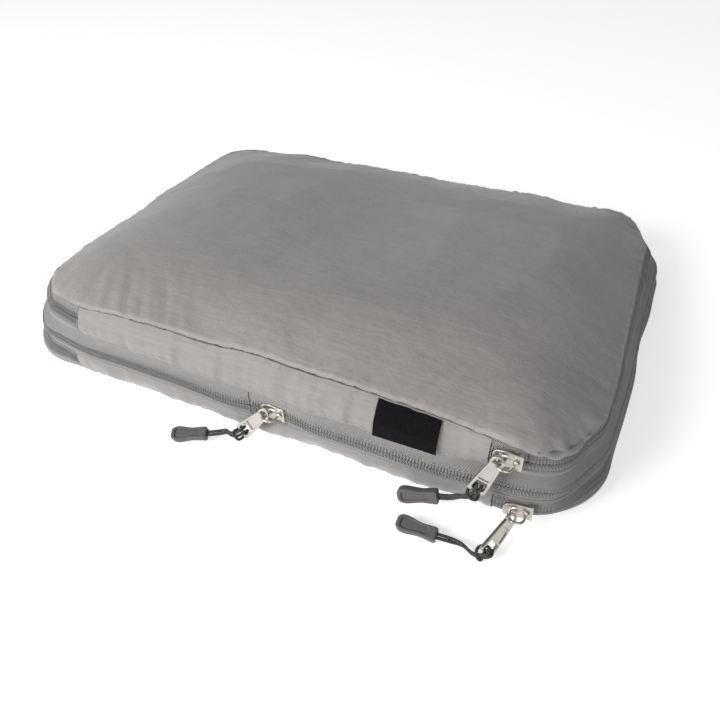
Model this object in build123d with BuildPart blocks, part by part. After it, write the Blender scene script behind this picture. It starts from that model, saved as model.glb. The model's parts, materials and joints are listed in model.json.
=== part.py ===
# Double-sided compression packing cube, lying flat.
# Origin: centre of the underside. +X along the length, -Y the front (the hinge side), +Z up.
# Millimetres throughout.
from build123d import *
import math
import os

os.makedirs("parts", exist_ok=True)

# ---- overall plan ----
length = 350.0
width = 250.0
corner_radius = 45.0

# ---- cloth, tape and coil ----
wall = 0.8  # cloth and zip tape, laid flat
panel_cloth = 1.0  # top and bottom panels with their backing
coil_depth = 1.2  # coil sewn on the inside of the tape
coil_height = 1.6
zip_gap = 1.6  # between the two rows of coil
body_gap = 0.3  # between pieces that move apart
binding_cloth = 0.8
binding_height = 3.0

# ---- heights, from the underside up ----
hem_height = 2.0
lower_lid_tape_height = 8.6
lower_band_height = 4.8
divider_thickness = 0.8
compression_lower_height = 5.5
compression_upper_height = 8.5
upper_band_height = 8.8
upper_lid_tape_height = 5.2
roll_height = 3.5  # rolled edge of the top panel
roll_radius = 3.3
hem_radius = 1.8

# ---- where the front cloth stretches stop along the length ----
lower_spine_left = -116.0
lower_spine_right = 126.0
upper_spine_left = -105.0
upper_spine_right = 122.0
compression_joint = 3.0  # where the ends of the compression tape meet
compression_slit = 0.6

# ---- folded expansion gusset, behind the compression zip ----
gusset_inset = 4.1
gusset_fold = 3.0
gusset_cloth = 0.8

# ---- label in the top front seam ----
label_width = 30.0
label_height = 14.5
label_cloth = 0.5
label_x = 85.0

# ---- sliders ----
slider_length = 13.0
slider_nose_width = 10.4
slider_tail_width = 8.4
slider_plate = 1.1
slider_play = 0.06  # past the coil where it curves round a corner
post_length = 3.0
post_width = 1.0
bail_wire = 0.7  # radius
bail_reach = 3.3  # half the distance between its legs
bail_leg = 2.4  # straight part above the slider
section_spare = 1.5  # of the fixed tape end past the slider

# ---- pullers ----
puller_thickness = 1.6
eye_thickness = 1.2
eye_hole = 1.9  # radius
eye_wall = 1.2
puller_half_width = 4.2
puller_reach = 17.8  # eye centre to end bar centre
bar_width = 1.8
window_length = 4.4
window_width = 5.2
recess_depth = 0.25
rim_width = 1.2

# ---- pull cords and grips ----
cord_diameter = 1.5
strand_spacing = 1.7
grip_length = 18.8
grip_thickness = 4.2
grip_head = 4.0  # radius of its round end
grip_waist = 2.8
grip_root = 3.2
grip_recess = 0.4

# ---- levels worked out from the heights ----
lower_lid_top = hem_height + lower_lid_tape_height
lower_gap_z = lower_lid_top + zip_gap / 2
lower_band_z = lower_lid_top + zip_gap
middle_seam_z = lower_band_z + lower_band_height
compression_z = middle_seam_z + divider_thickness
compression_low_top = compression_z + compression_lower_height
compression_gap_z = compression_low_top + zip_gap / 2
compression_high_z = compression_low_top + zip_gap
upper_seam_z = compression_high_z + compression_upper_height
upper_band_top = upper_seam_z + upper_band_height
upper_gap_z = upper_band_top + zip_gap / 2
upper_lid_z = upper_band_top + zip_gap
top_seam_z = upper_lid_z + upper_lid_tape_height
front_y = -width / 2
corner_x = length / 2 - corner_radius
corner_y = front_y + corner_radius
coil_radius = corner_radius - wall - coil_depth
coil_sag = coil_radius - math.sqrt(coil_radius**2 - (slider_length / 2) ** 2)
slider_clearance = slider_play + coil_sag


def save(piece, name):
    piece.part.label = name
    export_step(piece.part, f"parts/{name}.step")
    return piece.part


def outline(inset, mode=Mode.ADD):
    # rounded rectangle, drawn in from the outside of the wall
    return RectangleRounded(
        length - 2 * inset, width - 2 * inset, corner_radius - inset, mode=mode
    )


def straight_end(x):
    # a cut square across the front wall
    return [(x, front_y + 12), (x, front_y - 8)]


def corner_end(angle):
    # a cut straight through the wall, at an angle round the right-hand corner
    turn = math.radians(angle)
    return [
        (corner_x + reach * math.sin(turn), corner_y - reach * math.cos(turn))
        for reach in (corner_radius - 12, corner_radius + 8)
    ]


def front_stretch(left, right, mode):
    # plan of the front wall between a left-hand x and a right-hand cut
    Polygon((left, front_y - 8), (left, front_y + 12), *right, align=None, mode=mode)


def ring(name, low, height, inset, depth, stretch=None, mode=Mode.SUBTRACT, slit=0.0):
    # a band of cloth round the wall; stretch is the part of the front it leaves out, or is
    with BuildPart() as piece:
        with BuildSketch(Plane.XY.offset(low)):
            outline(inset)
            outline(inset + depth, Mode.SUBTRACT)
            if stretch:
                front_stretch(*stretch, mode)
            if slit:
                with Locations((compression_joint, front_y + 5)):
                    Rectangle(slit, 12, mode=Mode.SUBTRACT)
        extrude(amount=height)
    return save(piece, name)


def slab(name, low, height, left, right, depth):
    # a straight piece of the front wall; depth is measured inwards from its face
    with BuildPart() as piece:
        with BuildSketch(Plane.XY.offset(low)):
            with Locations(((left + right) / 2, front_y + depth / 2)):
                Rectangle(right - left, abs(depth))
        extrude(amount=height)
    return save(piece, name)


# ---- where each slider stands on its zip ----
upper_slider_angle = 0.0  # round the right-hand corner
lower_slider_angle = 10.0
compression_slider_x = 15.5
section_reach = math.degrees((slider_length / 2 + section_spare) / corner_radius)
gap_angle = math.degrees(body_gap / corner_radius)
upper_section_angle = upper_slider_angle + section_reach
lower_section_angle = lower_slider_angle + section_reach
lower_cut = (lower_spine_left - body_gap, corner_end(lower_section_angle + gap_angle))
upper_cut = (upper_spine_left - body_gap, corner_end(upper_section_angle + gap_angle))

# ---- bottom lid ----
with BuildPart() as bottom_panel:
    with BuildSketch(Plane.XY):
        outline(0)
    extrude(amount=hem_height)
    fillet(bottom_panel.edges().group_by(Axis.Z)[0], hem_radius)
    with BuildSketch(Plane.XY.offset(panel_cloth)):
        outline(panel_cloth)
    extrude(amount=hem_height, mode=Mode.SUBTRACT)
save(bottom_panel, "bottom_panel")
ring("lower_lid_tape", hem_height, lower_lid_tape_height, 0, wall, lower_cut)
ring("lower_lid_coil", lower_lid_top - coil_height, coil_height, wall, coil_depth, lower_cut)
ring("bottom_binding", hem_height, binding_height, wall, binding_cloth, lower_cut)

# ---- lower half ----
slab(
    "lower_spine", hem_height + body_gap, middle_seam_z - hem_height - body_gap,
    lower_spine_left, lower_spine_right, wall,
)
band_cut = (lower_spine_left, straight_end(lower_spine_right))
ring("lower_band_tape", lower_band_z, lower_band_height, 0, wall, band_cut)
ring("lower_band_coil", lower_band_z, coil_height, wall, coil_depth, band_cut)
ring(
    "lower_end_tape", hem_height + body_gap, lower_lid_tape_height - body_gap, 0, wall,
    (lower_spine_right, corner_end(lower_section_angle)), Mode.INTERSECT,
)
ring("middle_binding", middle_seam_z - binding_cloth, binding_cloth, wall, coil_depth)
with BuildPart() as divider:
    with BuildSketch(Plane.XY.offset(middle_seam_z)):
        outline(0)
    extrude(amount=divider_thickness)
save(divider, "divider")
ring(
    "compression_lower_tape", compression_z, compression_lower_height, 0, wall,
    slit=compression_slit,
)
ring(
    "compression_lower_coil", compression_low_top - coil_height, coil_height, wall, coil_depth,
    slit=compression_slit,
)
with BuildPart() as expansion_gusset:
    with BuildSketch(Plane.XY.offset(compression_z)):
        outline(gusset_inset)
        outline(gusset_inset + gusset_fold, Mode.SUBTRACT)
    extrude(amount=upper_seam_z - compression_z)
    for level in (compression_z, upper_seam_z - gusset_cloth):
        with BuildSketch(Plane.XY.offset(level)):
            outline(wall)
            outline(gusset_inset + gusset_fold, Mode.SUBTRACT)
        extrude(amount=gusset_cloth)
save(expansion_gusset, "expansion_gusset")

# ---- upper half ----
ring(
    "compression_upper_tape", compression_high_z, compression_upper_height, 0, wall,
    slit=compression_slit,
)
ring(
    "compression_upper_coil", compression_high_z, coil_height, wall, coil_depth,
    slit=compression_slit,
)
ring("upper_binding", upper_seam_z, binding_height, wall, binding_cloth)
slab(
    "upper_spine", upper_seam_z, top_seam_z - body_gap - upper_seam_z,
    upper_spine_left, upper_spine_right, wall,
)
band_cut = (upper_spine_left, straight_end(upper_spine_right))
ring("upper_band_tape", upper_seam_z, upper_band_height, 0, wall, band_cut)
ring("upper_band_coil", upper_band_top - coil_height, coil_height, wall, coil_depth, band_cut)
ring(
    "upper_end_tape", upper_lid_z, upper_lid_tape_height - body_gap, 0, wall,
    (upper_spine_right, corner_end(upper_section_angle)), Mode.INTERSECT,
)
label_top = top_seam_z - body_gap
slab(
    "side_label", label_top - label_height, label_height,
    label_x - label_width / 2, label_x + label_width / 2, -label_cloth,
)

# ---- top lid ----
ring("upper_lid_tape", upper_lid_z, upper_lid_tape_height, 0, wall, upper_cut)
ring("upper_lid_coil", upper_lid_z, coil_height, wall, coil_depth, upper_cut)
ring("top_binding", top_seam_z - binding_height, binding_height, wall, binding_cloth, upper_cut)
with BuildPart() as top_panel:
    with BuildSketch(Plane.XY.offset(top_seam_z)):
        outline(0)
    extrude(amount=roll_height)
    fillet(top_panel.edges().group_by(Axis.Z)[-1], roll_radius)
    with BuildSketch(Plane.XY.offset(top_seam_z)):
        outline(panel_cloth)
    extrude(amount=roll_height - panel_cloth, mode=Mode.SUBTRACT)
save(top_panel, "top_panel")


# ---- sliders, pullers, cords and grips ----
def zip_frame(x, angle, height):
    # on the face of the wall: X along the zip, Y up, Z outwards
    turn = math.radians(angle)
    out = Vector(math.sin(turn), -math.cos(turn), 0)
    along = Vector(math.cos(turn), math.sin(turn), 0)
    place = Vector(x, front_y, height)
    if angle:
        place = Vector(corner_x, corner_y, height) + out * corner_radius
    return Plane(origin=place, x_dir=along, z_dir=out)


def on_bail(place, rise):
    # a point on the bail's middle line, from the top of its left leg (0) to its crown (90)
    turn = math.radians(rise)
    out = slider_clearance + slider_plate + bail_leg + bail_reach * math.sin(turn)
    return place.origin - place.x_dir * bail_reach * math.cos(turn) + place.z_dir * out


def make_slider(name, place):
    channel_back = -wall - coil_depth - slider_clearance
    half = slider_length / 2
    nose, tail = slider_nose_width / 2, slider_tail_width / 2
    shield = [(-half, -tail + 1), (-half, tail - 1), (1, nose), (half, 0.6 * nose)]
    shield += [(half, -0.6 * nose), (1, -nose)]
    with BuildPart() as slider:
        for back in (slider_clearance, channel_back - slider_plate):
            with BuildSketch(place.offset(back)):
                Polygon(*shield, align=None)
            extrude(amount=slider_plate)
        with BuildSketch(place.offset(channel_back)):
            with Locations((half - post_length, 0)):
                Rectangle(post_length, post_width)
        extrude(amount=slider_clearance - channel_back)
        fillet(slider.edges().filter_by(GeomType.LINE).filter_by(Axis(place.origin, place.z_dir)), 0.35)
        # bail: two straight legs and a half ring, in one round wire
        foot = slider_clearance + slider_plate / 2
        bend = slider_clearance + slider_plate + bail_leg
        for side in (-bail_reach, bail_reach):
            with BuildSketch(place.offset(foot)):
                with Locations((side, 0)):
                    Circle(bail_wire)
            extrude(amount=bend - foot)
        with BuildSketch(place.offset(bend)):
            with Locations((bail_reach, 0)):
                Circle(bail_wire)
        centre = place.origin + place.z_dir * bend
        revolve(axis=Axis(centre, place.y_dir * -1), revolution_arc=180)
    return save(slider, name)


def lying(origin, along, face):
    # X exactly along a piece, Z out of its face as nearly as that allows
    along = Vector(*along).normalized()
    face = Vector(*face)
    face = (face - along * face.dot(along)).normalized()
    return Plane(origin=origin, x_dir=along, z_dir=face)


def make_puller(name, place):
    end = puller_reach + bar_width / 2
    window_x = puller_reach - bar_width / 2 - window_length / 2
    side = puller_half_width
    plate = [(1.5, -3.1), (6.5, -side), (end - 1.6, -side), (end, -side + 1.8)]
    plate += [(x, -y) for x, y in reversed(plate)]
    with BuildPart() as puller:
        with BuildSketch(place.offset(-eye_thickness / 2)):
            Circle(eye_hole + eye_wall)
        extrude(amount=eye_thickness)
        with BuildSketch(place.offset(-puller_thickness / 2)):
            Polygon(*plate, align=None)
            with Locations((window_x, 0)):
                Rectangle(window_length, window_width, mode=Mode.SUBTRACT)
        extrude(amount=puller_thickness)
        with BuildSketch(place.offset(-puller_thickness)):
            Circle(eye_hole)
        extrude(amount=2 * puller_thickness, mode=Mode.SUBTRACT)
        recess_start = eye_hole + 2 * eye_wall
        recess_end = window_x - window_length / 2 - rim_width
        for level in (-puller_thickness / 2, puller_thickness / 2 - recess_depth):
            with BuildSketch(place.offset(level)):
                with Locations(((recess_start + recess_end) / 2, 0)):
                    Rectangle(recess_end - recess_start, 2 * (side - rim_width))
            extrude(amount=recess_depth, mode=Mode.SUBTRACT)
    return save(puller, name)


def make_grip(name, place):
    # at the collar's face: X towards the round end, Z out of the face
    head = grip_length - grip_head
    side = [(0, grip_root), (3, grip_root), (8, grip_waist), (head - 2, grip_head - 0.35)]
    side += [(head, grip_head)]
    with BuildPart() as grip:
        with BuildSketch(place.offset(-grip_thickness / 2)):
            Polygon(*side, *[(x, -y) for x, y in reversed(side)], align=None)
            with Locations((head, 0)):
                Circle(grip_head)
        extrude(amount=grip_thickness)
        rims = grip.faces().filter_by(Plane(place.origin, z_dir=place.z_dir))
        chamfer(rims.edges(), 0.7)
        for level in (-grip_thickness / 2, grip_thickness / 2 - grip_recess):
            with BuildSketch(place.offset(level)):
                with Locations(((4 + head) / 2, 0)):
                    SlotCenterToCenter(head - 6.5, 2 * grip_waist - 2.2)
            extrude(amount=grip_recess, mode=Mode.SUBTRACT)
    return save(grip, name)


# One half of the cow hitch on the end bar, in the puller's own directions from the bar's centre:
# along the puller, across it, and out of its face. The other half is its mirror image.
hitch = [(6.2, 1.0, 1.5), (1.8, 0.9, 2.1), (-2.3, 1.0, 1.9), (-2.2, 1.2, -1.9), (3.0, 2.5, -1.9)]
hitch += [(3.3, 2.6, 3.1)]


def cord_points(place, grip_place, run, turn, lean):
    # from the grip, along one strand, round the bar and back along the other strand
    bar = place.origin + place.x_dir * puller_reach
    along = place.x_dir * math.cos(turn) + place.z_dir * math.sin(turn)
    out = place.z_dir * math.cos(turn) - place.x_dir * math.sin(turn)
    across = grip_place.y_dir if grip_place.y_dir.dot(place.y_dir) > 0 else -grip_place.y_dir
    halves = []
    for side in (1, -1):
        half = strand_spacing / 2 * side
        strand = [p + across * half for p in run[:0:-1]]
        strand.append(run[0] + place.y_dir * half)
        for i, (x, y, z) in enumerate(hitch):
            shift = lean if i == 0 else 0
            strand.append(bar + along * x + place.y_dir * (y * side + shift) + out * z)
        halves.append(strand)
    return halves[0] + halves[1][::-1]


def make_cord(name, points):
    runs = [(b - a).length for a, b in zip(points, points[1:])]
    radii = []
    for i in range(1, len(points) - 1):
        turn = (points[i] - points[i - 1]).get_angle(points[i + 1] - points[i])
        radii.append(0.45 * min(runs[i - 1], runs[i]) / math.tan(math.radians(turn / 2)))
    with BuildPart() as cord:
        with BuildLine() as path:
            route = FilletPolyline(*points, radius=radii)
        with BuildSketch(Plane(origin=route @ 0, z_dir=route % 0)):
            Circle(cord_diameter / 2)
        sweep(path=route)
    made = save(cord, name)
    section = math.pi * cord_diameter**2 / 4
    print(name, "length", round(route.length, 1), "runs", [round(r, 1) for r in runs])
    print("  radii", [round(r, 2) for r in radii])
    print("  volume over section times length", round(made.volume / route.length / section, 4))


# Each pull: where its slider stands, how far round the bail the eye hangs, the way the puller
# lies and faces, how far the hitch is turned on the bar and leans along it, the doubled cord's
# middle line from the hitch to the grip's collar (from the slider in X, from the front wall in
# Y, from the ground in Z), and the way the grip lies and faces.
pulls = {
    "upper": dict(
        zip_place=zip_frame(corner_x, upper_slider_angle, upper_gap_z),
        rise=4, along=(-6.4, -4.2, -16.5), face=(0.15, -0.98, 0.13),
        hitch_turn=-10, hitch_lean=-2.2,
        run=[(-16.4, -9.9, 20.6), (-20.7, -10.1, 17.1), (-25.6, -10.1, 15.6)],
        grip=(-17.6, -2.6, -4.4), grip_face=(0.08, -1.0, 0.25),
    ),
    "compression": dict(
        zip_place=zip_frame(compression_slider_x, 0.0, compression_gap_z),
        rise=4, along=(-11.6, -4.2, -12.8), face=(-0.14, -0.96, 0.24),
        hitch_turn=5, hitch_lean=-2.2,
        run=[(-24.0, -9.2, 8.4), (-29.4, -10.6, 5.9), (-34.9, -12.6, 5.0)],
        grip=(-17.9, -6.6, -1.8), grip_face=(0.05, -0.35, 0.93),
    ),
    "lower": dict(
        zip_place=zip_frame(corner_x, lower_slider_angle, lower_gap_z),
        rise=45, along=(-5.2, -14.2, -6.0), face=(0.77, -0.49, 0.40),
        hitch_turn=-60, hitch_lean=-1.2,
        run=[(-17.2, -21.4, 4.0), (-23.2, -21.1, 3.3), (-29.5, -21.4, 3.1)],
        grip=(-19.4, 0.0, 0.3), grip_face=(0.0, -0.3, 0.95),
    ),
}
for name, pull in pulls.items():
    zip_place = pull["zip_place"]
    make_slider(f"{name}_slider", zip_place)
    place = lying(on_bail(zip_place, pull["rise"]), pull["along"], pull["face"])
    make_puller(f"{name}_puller", place)
    start = Vector(zip_place.origin.X, front_y, 0)
    run = [start + Vector(*p) for p in pull["run"]]
    grip_place = lying(run[-1], pull["grip"], pull["grip_face"])
    turn = math.radians(pull["hitch_turn"])
    points = cord_points(place, grip_place, run, turn, pull["hitch_lean"])
    make_cord(f"{name}_cord", points)
    make_grip(f"{name}_grip", grip_place)
    bar = place.origin + place.x_dir * puller_reach
    print("  eye", place.origin, "bar", bar, "lift axis", place.x_dir.cross(place.z_dir))
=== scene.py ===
import bmesh
import bpy
import json
import math
import numpy as np
from mathutils import Matrix, Vector, geometry


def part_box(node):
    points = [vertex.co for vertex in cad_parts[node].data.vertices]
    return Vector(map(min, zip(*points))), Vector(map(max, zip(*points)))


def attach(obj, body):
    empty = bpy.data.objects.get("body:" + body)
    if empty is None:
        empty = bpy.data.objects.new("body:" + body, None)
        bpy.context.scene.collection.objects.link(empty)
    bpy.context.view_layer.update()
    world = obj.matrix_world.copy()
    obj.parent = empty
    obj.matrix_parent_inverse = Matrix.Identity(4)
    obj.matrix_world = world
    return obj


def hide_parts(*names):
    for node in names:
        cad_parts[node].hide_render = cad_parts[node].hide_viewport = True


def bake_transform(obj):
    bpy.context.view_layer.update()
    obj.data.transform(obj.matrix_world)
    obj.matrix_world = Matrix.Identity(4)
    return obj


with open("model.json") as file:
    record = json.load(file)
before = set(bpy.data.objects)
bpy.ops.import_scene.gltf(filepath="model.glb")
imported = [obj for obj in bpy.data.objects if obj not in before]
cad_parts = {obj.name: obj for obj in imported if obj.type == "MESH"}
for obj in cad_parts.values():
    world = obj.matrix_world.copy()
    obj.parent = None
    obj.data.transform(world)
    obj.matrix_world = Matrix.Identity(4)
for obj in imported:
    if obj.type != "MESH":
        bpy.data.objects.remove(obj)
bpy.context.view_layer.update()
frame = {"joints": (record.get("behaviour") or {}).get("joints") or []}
mm = 0.001

# sizes read from the frame, in millimetres
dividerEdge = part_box("divider")[1]
halfLength = dividerEdge.x / mm
halfWidth = dividerEdge.y / mm
corner = 45.0  # the rounded corners of the plan
straightX = 2 * (halfLength - corner)
straightY = 2 * (halfWidth - corner)
quarter = math.pi / 2 * corner
girth = 2 * straightX + 2 * straightY + 4 * quarter


def levels(node):
    low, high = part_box(node)
    return low.z / mm, high.z / mm


topSeam = levels("top_panel")[0]
upperSeam = levels("upper_spine")[0]
middleSeam = levels("divider")[0]
hem = levels("bottom_panel")[1]
upperGap = (levels("upper_band_tape")[1] + levels("upper_lid_tape")[0]) / 2
compressionGap = (levels("compression_lower_tape")[1] + levels("compression_upper_tape")[0]) / 2
lowerGap = (levels("lower_lid_tape")[1] + levels("lower_band_tape")[0]) / 2


def smooth(t):
    t = np.clip(t, 0, 1)
    return t * t * (3 - 2 * t)


def near(value, centre, reach):
    # 1 at the centre, falling to 0 at reach either side
    return smooth(1 - np.abs(value - centre) / reach)


def ripple(s, cycles, seed):
    # a wave round the wall that closes on itself, between -1 and 1
    made = np.zeros_like(s, dtype=float)
    for i, part in enumerate((1.0, 0.71, 1.37, 1.83)):
        turns = max(1, round(cycles * part))
        made += math.pow(0.8, i) * np.sin(2 * np.pi * turns * s / girth + 2.4 * seed + 1.9 * i * seed)
    return made / 2.2


def planAt(s):
    # point and outward direction on the wall, from the front left corner anticlockwise
    s = np.mod(s, girth)
    x, y, nx, ny = (np.zeros_like(s, dtype=float) for _ in range(4))
    start = 0.0
    centres = [(1, -1), (1, 1), (-1, 1), (-1, -1)]
    for side in range(4):
        turn = side * math.pi / 2
        out = (math.sin(turn), -math.cos(turn))
        along = (math.cos(turn), math.sin(turn))
        run = straightX if side % 2 == 0 else straightY
        face = halfWidth if side % 2 == 0 else halfLength
        here = (s >= start) & (s < start + run)
        t = s - start - run / 2
        x[here] = (out[0] * face + along[0] * t)[here]
        y[here] = (out[1] * face + along[1] * t)[here]
        nx[here], ny[here] = out
        start += run
        here = (s >= start) & (s < start + quarter)
        angle = turn + (s - start) / corner
        cx, cy = centres[side][0] * (halfLength - corner), centres[side][1] * (halfWidth - corner)
        x[here] = (cx + corner * np.sin(angle))[here]
        y[here] = (cy - corner * np.cos(angle))[here]
        nx[here], ny[here] = np.sin(angle)[here], -np.cos(angle)[here]
        start += quarter
    return x, y, nx, ny


def frontS(x):
    # distance round the wall of a point on the front
    return x + straightX / 2


# where each slider rests: distance round the wall, and level
sliderS = {
    "upper": frontS(130),
    "compression": frontS(15.5),
    "lower": frontS(130) + math.radians(10) * corner,
}
sliderZ = {"upper": upperGap, "compression": compressionGap, "lower": lowerGap}

cube = {
    "rearDrop": 0.33,  # share of the height lost at the back, the left end and the right end
    "leftDrop": 0.15,
    "rightDrop": 0.15,
    "underTuck": 6.5,  # how far the lowest cloth turns in
    "lean": 3.4,  # how far the wall leans in at the top seam, and how much more at each side
    "frontLean": 3.0,
    "rearLean": 4.5,
    "leftLean": 10.0,
    "rightLean": 2.5,
    "leftInset": 8.5,
    "rightInset": 6.0,
    "frontBelly": 3.2,  # the front bulges between its zips
    "frontRise": 2.2,
    "seamCrease": 1.9,
    "middleCrease": 1.1,
    "calmReach": 26,  # flat tape each side of a slider
}


def calm(s, z):
    # 0 beside a slider, where the tape lies flat, and 1 away from it
    made = 1.0
    for name in sliderS:
        away = np.abs(np.mod(s - sliderS[name] + girth / 2, girth) - girth / 2)
        made = made * (1 - near(away, 0, cube["calmReach"]) * near(z, sliderZ[name], 14))
    return made


def ends(x, y):
    # how far towards the back, the left end and the right end a point lies, each 0 to 1
    rear = smooth((y + 100) / 235)
    return rear, smooth((-x - 88) / 80) * (1 - 0.75 * rear), smooth((x - 124) / 46)


def tallness(x, y):
    # the cube is full at the front and sinks towards its back and ends
    rear, left, right = ends(x, y)
    rightShare = right * (1 - 0.6 * rear)
    return 1 - cube["rearDrop"] * rear - cube["leftDrop"] * left - cube["rightDrop"] * rightShare


def wallAt(s, z, out=0.0):
    # every wall piece takes its shape from here, so neighbours stay together
    s, z, out = (np.asarray(v, float) + 0 * s for v in (s, z, out))
    x, y, nx, ny = planAt(s)
    rear, left, right = ends(x, y)
    still = calm(s, z)
    front = np.clip(1 - (x / 128) ** 2, 0, 1) * smooth((-y - 110) / 15)
    under = (cube["underTuck"] - 2.5 * left) * np.clip((12.5 - z) / 12.5, 0, 1) ** 1.8
    high = 40 - 18 * np.maximum(rear, np.maximum(left, right))
    over = cube["lean"] + cube["frontLean"] * front + cube["rearLean"] * rear
    over = over + cube["leftLean"] * left + cube["rightLean"] * right
    over = over * np.clip((z - high) / (topSeam - high), 0, 1.2) ** 1.3
    over = over * (0.3 + 0.7 * still)
    over = over + (cube["leftInset"] * left + cube["rightInset"] * smooth((x - 150) / 22)) * smooth(z / 16)
    belly = 1.2 * ripple(s, 5, 1.0) * near(z, 24, 30) + cube["frontBelly"] * front * near(z, 22, 24)
    belly = belly + 0.9 * ripple(s, 13, 2.0) * near(z, 8, 18) + 0.7 * ripple(s, 17, 5.0) * near(z, 40, 14)
    plain = smooth((-y - 118) / 7) * smooth((118 - x) / 12) * smooth((x + 100) / 12)
    crease = (cube["seamCrease"] - 1.6 * plain) * near(z, upperSeam, 5.0)
    crease = crease + cube["middleCrease"] * near(z, middleSeam + 0.4, 4.5)
    push = belly * still - under - over - crease + out
    rise = 1.3 * ripple(s, 7, 3.0) * near(z, 24, 22) + 1.0 * ripple(s, 14, 4.0) * near(z, 49, 24)
    rise = rise + 0.25 * ripple(s, 90, 6.0) * near(z, 49, 8) + cube["frontRise"] * front * near(z, 49, 18)
    sway = 2.4 * near(x, -42, 40) - 2.0 * near(x, -106, 34) - 1.8 * near(x, 104, 36)
    rise = rise + sway * smooth((-y - 110) / 15) * near(z, 24, 15)
    height = z * tallness(x, y) + rise * still
    return np.stack([x + nx * push, y + ny * push, height], axis=-1)


def makeObject(name, points, faces, body, material, node):
    mesh = bpy.data.meshes.new(name)
    mesh.from_pydata((np.asarray(points) * mm).tolist(), [], [list(map(int, f)) for f in faces])
    mesh.validate()
    made = bpy.data.objects.new(name, mesh)
    bpy.context.collection.objects.link(made)
    mesh.polygons.foreach_set("use_smooth", [True] * len(mesh.polygons))
    mesh.materials.append(material)
    mesh.update()
    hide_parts(node)
    if body:
        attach(made, body)
    return made


def gridFaces(rows, columns, wrap=False, flip=False):
    # rows across the strip, columns along it
    r, c = np.meshgrid(np.arange(rows - 1), np.arange(columns if wrap else columns - 1), indexing="ij")
    d = (c + 1) % columns
    quads = np.stack([r * columns + c, r * columns + d, (r + 1) * columns + d, (r + 1) * columns + c], -1)
    quads = quads.reshape(-1, 4)
    return quads[:, ::-1] if flip else quads


def joinParts(parts):
    points, faces, start = [], [], 0
    for p, f in parts:
        points.append(p)
        faces.extend((np.asarray(f) + start).tolist())
        start += len(p)
    return np.concatenate(points), faces


def stripParts(sFrom, sTo, zLow, zHigh, thick, sStep, zStep, relief, edge=0.35):
    # outer face with its two long edges turned in, an inner face and the two cut ends
    count = max(4, int(round((sTo - sFrom) / sStep)))
    s = sFrom + (sTo - sFrom) * np.linspace(0, 1, count + 1)
    rows = max(3, int(round((zHigh - zLow) / zStep)) + 1)
    zs = np.linspace(zLow, zHigh, rows)
    path = [(zLow + edge, -thick), (zLow, -thick * 0.6), (zLow, -edge * 0.6)]
    path += [(z, 0.0) for z in (zLow + edge * 0.5, *zs[1:-1], zHigh - edge * 0.5)]
    path += [(zHigh, -edge * 0.6), (zHigh, -thick * 0.6), (zHigh - edge, -thick)]
    points = []
    for z, out in path:
        zz = np.full_like(s, z)
        lift = relief(s, zz) if out > -0.5 * thick else 0.0
        points.append(wallAt(s, zz, out + lift))
    outer = (np.concatenate(points), gridFaces(len(path), len(s)))
    few = np.append(s[:: max(1, int(round(3 / sStep)))], s[-1])
    rowsIn = np.linspace(zLow + edge, zHigh - edge, max(3, rows // 2))
    inner = np.concatenate([wallAt(few, np.full_like(few, z), -thick) for z in rowsIn])
    parts = [outer, (inner, gridFaces(len(rowsIn), len(few), flip=True))]
    for end in (s[0], s[-1]):
        face = np.concatenate([wallAt(np.full_like(zs, end), zs, o) for o in (0.0, -thick)])
        parts.append((face, gridFaces(2, rows)))
    return parts


print("stage: materials")


def nodesOf(name):
    material = bpy.data.materials.new(name)
    material.use_nodes = True
    tree = material.node_tree
    shader = tree.nodes["Principled BSDF"]
    return material, tree, shader


def add(tree, kind, **values):
    made = tree.nodes.new(kind)
    for key, value in values.items():
        if key in made.inputs.keys():
            made.inputs[key].default_value = value
        else:
            setattr(made, key, value)
    return made


def coordinates(tree, scale):
    place = add(tree, "ShaderNodeTexCoord")
    mapping = add(tree, "ShaderNodeMapping")
    mapping.inputs["Scale"].default_value = scale
    tree.links.new(place.outputs["Object"], mapping.inputs["Vector"])
    return mapping.outputs["Vector"]


def noiseOn(tree, scale, size, detail=4.0, rough=0.6):
    made = add(tree, "ShaderNodeTexNoise", Scale=size, Detail=detail, Roughness=rough)
    tree.links.new(coordinates(tree, scale), made.inputs["Vector"])
    return made.outputs["Fac"]


def waveOn(tree, scale, size, distort=1.0, direction="X"):
    made = add(tree, "ShaderNodeTexWave", Scale=size, Distortion=distort, Detail=1.0)
    made.bands_direction = direction
    tree.links.new(coordinates(tree, scale), made.inputs["Vector"])
    return made.outputs["Fac"]


def bumpOn(tree, heights, shader):
    # several bumps, one after another, each (height output, strength, distance)
    normal = None
    for height, strength, distance in heights:
        made = add(tree, "ShaderNodeBump", Strength=strength, Distance=distance)
        tree.links.new(height, made.inputs["Height"])
        if normal:
            tree.links.new(normal, made.inputs["Normal"])
        normal = made.outputs["Normal"]
    tree.links.new(normal, shader.inputs["Normal"])


def mixOn(tree, first, second):
    # the middle of two greys
    made = add(tree, "ShaderNodeMix")
    made.inputs["Factor"].default_value = 0.5
    tree.links.new(first, made.inputs["A"])
    tree.links.new(second, made.inputs["B"])
    return made.outputs["Result"]


def rampOn(tree, source, low, high, start=0.3, stop=0.7):
    made = add(tree, "ShaderNodeValToRGB")
    made.color_ramp.elements[0].color = (*low, 1)
    made.color_ramp.elements[1].color = (*high, 1)
    made.color_ramp.elements[0].position = start
    made.color_ramp.elements[1].position = stop
    tree.links.new(source, made.inputs["Fac"])
    return made.outputs["Color"]


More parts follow.
